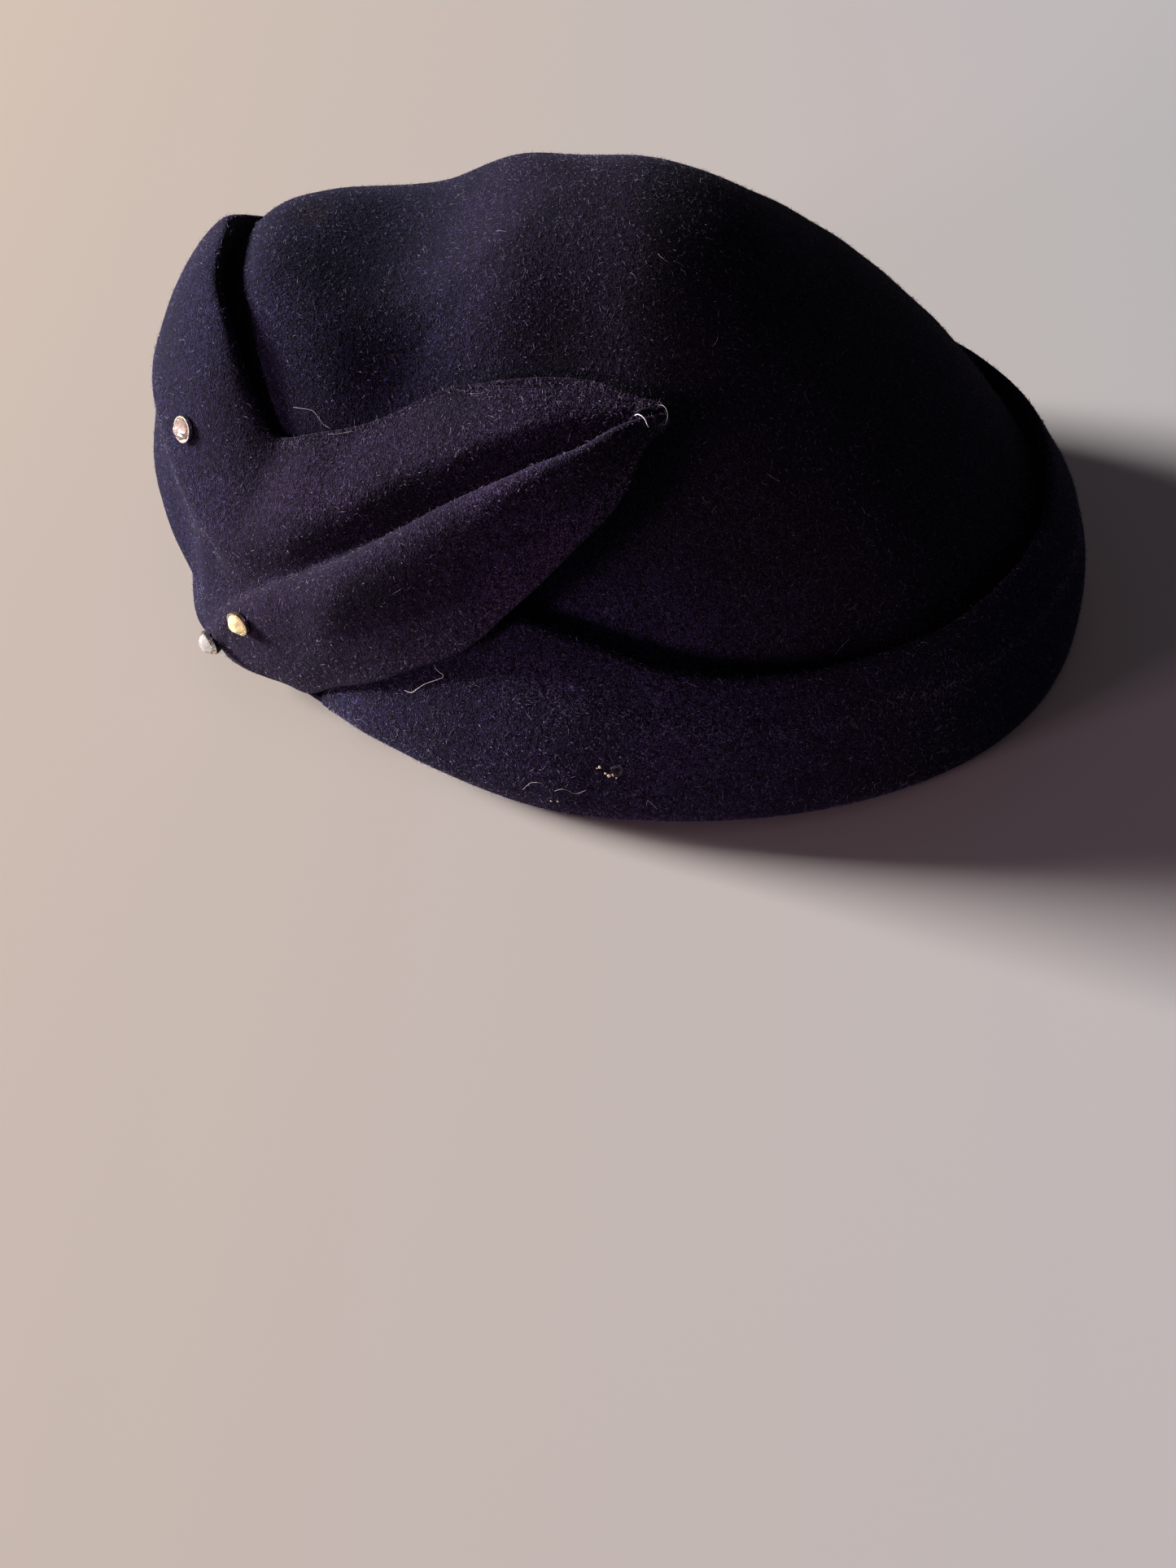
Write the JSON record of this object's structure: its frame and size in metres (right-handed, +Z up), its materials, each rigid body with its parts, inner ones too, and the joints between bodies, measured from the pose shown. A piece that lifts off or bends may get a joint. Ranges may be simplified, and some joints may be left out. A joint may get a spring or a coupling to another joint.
{
  "type": "felt hat",
  "caption": "Small close-fitting felt hat with a dented crown and a turned-up brim that rises to a tall front cuff and laps over the left side as a pleated leaf, trimmed with cut stones.",
  "frame": {"origin": "under the middle of the hat's outline from above, on the plane that the rim rests on", "axes": "+Z up through the crown, -Y towards the front, +X towards the wearer's left, where the leaf lies"},
  "size_m": [0.1786, 0.2126, 0.1014],
  "materials": {
    "felt": "dark aubergine fur felt with a short brushed nap",
    "foil": "thin pale gold foil",
    "stone": "clear cut stone over foil"
  },
  "bodies": {
    "root": {"crown": "felt", "brim": "felt", "cup_front": "foil", "cup_pleat": "foil", "cup_tip": "foil", "stone_front": "stone", "stone_pleat": "stone", "stone_tip": "stone"}
  },
  "joints": []
}
